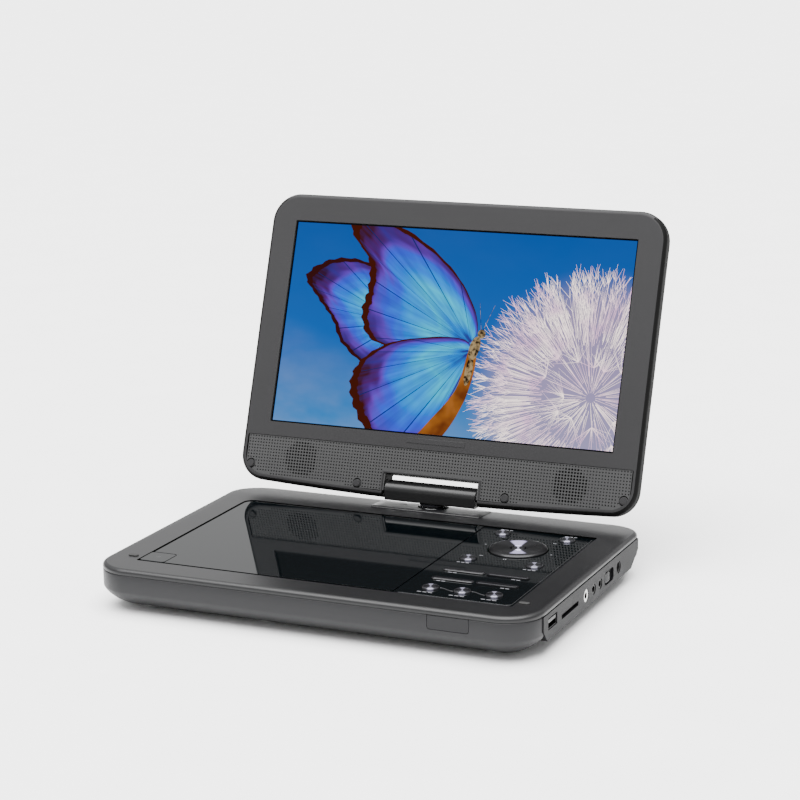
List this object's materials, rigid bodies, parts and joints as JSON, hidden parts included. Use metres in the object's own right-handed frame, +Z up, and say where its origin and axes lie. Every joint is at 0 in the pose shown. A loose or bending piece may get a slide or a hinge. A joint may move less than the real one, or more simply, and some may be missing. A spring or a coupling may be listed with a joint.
{
  "type": "portable disc player",
  "caption": "Clamshell portable disc player: a screen lid that tilts and swivels on a central hinge above a slim base with a disc door, a direction pad and side sockets.",
  "frame": {"origin": "middle of the open player's footprint seen from above, on the surface that its rubber feet stand on", "axes": "+X to the user's right, +Y away from the user towards the hinge, +Z up"},
  "size_m": [0.2653, 0.2461, 0.2038],
  "materials": {
    "satin_grey": "satin",
    "gloss_black": "polished",
    "smoked_plastic": "polished",
    "soft_black": "satin",
    "black_rubber": "matt",
    "bright_steel": "bright",
    "sheet_steel": "zinc plated",
    "circuit_board": "solder mask",
    "cell_wrap": "satin",
    "cast_grey": "cast",
    "white_plastic": "satin",
    "grey_plastic": "satin",
    "disc_finish": "spun",
    "lens_glass": "clear",
    "screen": "polished film"
  },
  "bodies": {
    "base": {"bottom_case": "satin_grey", "top_case": "satin_grey", "port_panel": "satin_grey", "disc_well": "soft_black", "control_panel": "gloss_black", "remote_window": "smoked_plastic", "rubber_feet": "black_rubber", "case_screws": "bright_steel", "deck_bumpers": "black_rubber", "swivel_washer": "black_rubber", "door_hinge_pins": "bright_steel", "main_board": "circuit_board", "key_board": "circuit_board", "battery_pack": "cell_wrap", "drive_chassis": "sheet_steel", "isolator_grommets": "black_rubber", "spindle_motor": "sheet_steel", "sled_motor": "sheet_steel", "guide_rods": "bright_steel", "usb_socket": "sheet_steel", "card_socket": "sheet_steel", "av_socket": "white_plastic", "headphone_sockets": "soft_black", "power_socket": "soft_black", "switch_body": "soft_black"},
    "disc_door": {"disc_door": "gloss_black"},
    "open_button": {"open_button": "gloss_black"},
    "power_switch": {"power_switch": "grey_plastic"},
    "turntable": {"turntable": "soft_black", "hub_balls": "bright_steel"},
    "pickup": {"pickup_sled": "cast_grey", "objective_lens": "lens_glass"},
    "lead_screw": {"lead_screw": "bright_steel"},
    "turret": {"swivel_post": "soft_black", "swivel_clip": "bright_steel", "hinge_bracket": "sheet_steel", "hinge_block_front": "satin_grey", "hinge_block_rear": "satin_grey", "tilt_shafts": "bright_steel"},
    "lid": {"lid_bezel": "satin_grey", "lid_back": "satin_grey", "screen_glass": "screen", "screen_frame": "sheet_steel", "lid_hinge_arms": "sheet_steel", "speakers": "soft_black", "lid_board": "circuit_board", "lid_trim": "soft_black"},
    "direction_ring": {"direction_ring": "disc_finish"},
    "enter_key": {"enter_key": "gloss_black"},
    "corner_key_1": {"corner_key_1": "gloss_black"},
    "corner_key_2": {"corner_key_2": "gloss_black"},
    "corner_key_3": {"corner_key_3": "gloss_black"},
    "corner_key_4": {"corner_key_4": "gloss_black"},
    "bar_key_1": {"bar_key_1": "gloss_black"},
    "bar_key_2": {"bar_key_2": "gloss_black"},
    "bar_key_3": {"bar_key_3": "gloss_black"},
    "bar_key_4": {"bar_key_4": "gloss_black"},
    "row_key_1": {"row_key_1": "gloss_black"},
    "row_key_2": {"row_key_2": "gloss_black"},
    "row_key_3": {"row_key_3": "gloss_black"}
  },
  "joints": [
    {"name": "lid_swivel", "type": "hinge", "parent": "base", "child": "turret", "pos_m": [0, 0.05824, 0.0235], "axis": [0, 0, 1], "range_deg": [-180, 0]},
    {"name": "lid_tilt", "type": "hinge", "parent": "turret", "child": "lid", "pos_m": [0, 0.05824, 0.0343], "axis": [-1, 0, 0], "range_deg": [-110, 70]},
    {"name": "disc_door_hinge", "type": "hinge", "parent": "base", "child": "disc_door", "pos_m": [-0.0336, 0.02615, 0.0225], "axis": [-1, 0, 0], "range_deg": [0, 50]},
    {"name": "open_button_press", "type": "slide", "parent": "base", "child": "open_button", "axis": [0, 0, -1], "range_m": [0, 0.001], "stiffness_N_per_m": 600},
    {"name": "power_switch_slide", "type": "slide", "parent": "base", "child": "power_switch", "axis": [0, 1, 0], "range_m": [0, 0.0055]},
    {"name": "turntable_spin", "type": "hinge", "parent": "base", "child": "turntable", "pos_m": [-0.0336, -0.03605, 0.0195], "axis": [0, 0, 1], "continuous": true},
    {"name": "pickup_slide", "type": "slide", "parent": "base", "child": "pickup", "axis": [1, 0, 0], "range_m": [0, 0.034]},
    {"name": "lead_screw_turn", "type": "hinge", "parent": "base", "child": "lead_screw", "pos_m": [0.0064, -0.06506, 0.0137], "axis": [1, 0, 0], "range_deg": [0, 4090]},
    {"name": "direction_ring_press", "type": "slide", "parent": "base", "child": "direction_ring", "axis": [0, 0, -1], "range_m": [0, 0.0006], "stiffness_N_per_m": 500},
    {"name": "enter_key_press", "type": "slide", "parent": "base", "child": "enter_key", "axis": [0, 0, -1], "range_m": [0, 0.0006], "stiffness_N_per_m": 500},
    {"name": "corner_key_1_press", "type": "slide", "parent": "base", "child": "corner_key_1", "axis": [0, 0, -1], "range_m": [0, 0.0006], "stiffness_N_per_m": 500},
    {"name": "corner_key_2_press", "type": "slide", "parent": "base", "child": "corner_key_2", "axis": [0, 0, -1], "range_m": [0, 0.0006], "stiffness_N_per_m": 500},
    {"name": "corner_key_3_press", "type": "slide", "parent": "base", "child": "corner_key_3", "axis": [0, 0, -1], "range_m": [0, 0.0006], "stiffness_N_per_m": 500},
    {"name": "corner_key_4_press", "type": "slide", "parent": "base", "child": "corner_key_4", "axis": [0, 0, -1], "range_m": [0, 0.0006], "stiffness_N_per_m": 500},
    {"name": "bar_key_1_press", "type": "slide", "parent": "base", "child": "bar_key_1", "axis": [0, 0, -1], "range_m": [0, 0.0006], "stiffness_N_per_m": 500},
    {"name": "bar_key_2_press", "type": "slide", "parent": "base", "child": "bar_key_2", "axis": [0, 0, -1], "range_m": [0, 0.0006], "stiffness_N_per_m": 500},
    {"name": "bar_key_3_press", "type": "slide", "parent": "base", "child": "bar_key_3", "axis": [0, 0, -1], "range_m": [0, 0.0006], "stiffness_N_per_m": 500},
    {"name": "bar_key_4_press", "type": "slide", "parent": "base", "child": "bar_key_4", "axis": [0, 0, -1], "range_m": [0, 0.0006], "stiffness_N_per_m": 500},
    {"name": "row_key_1_press", "type": "slide", "parent": "base", "child": "row_key_1", "axis": [0, 0, -1], "range_m": [0, 0.0006], "stiffness_N_per_m": 500},
    {"name": "row_key_2_press", "type": "slide", "parent": "base", "child": "row_key_2", "axis": [0, 0, -1], "range_m": [0, 0.0006], "stiffness_N_per_m": 500},
    {"name": "row_key_3_press", "type": "slide", "parent": "base", "child": "row_key_3", "axis": [0, 0, -1], "range_m": [0, 0.0006], "stiffness_N_per_m": 500}
  ],
  "couplings": [
    {"joint": "lead_screw_turn", "follows": "pickup_slide", "rad_per_m": 2094.4}
  ]
}
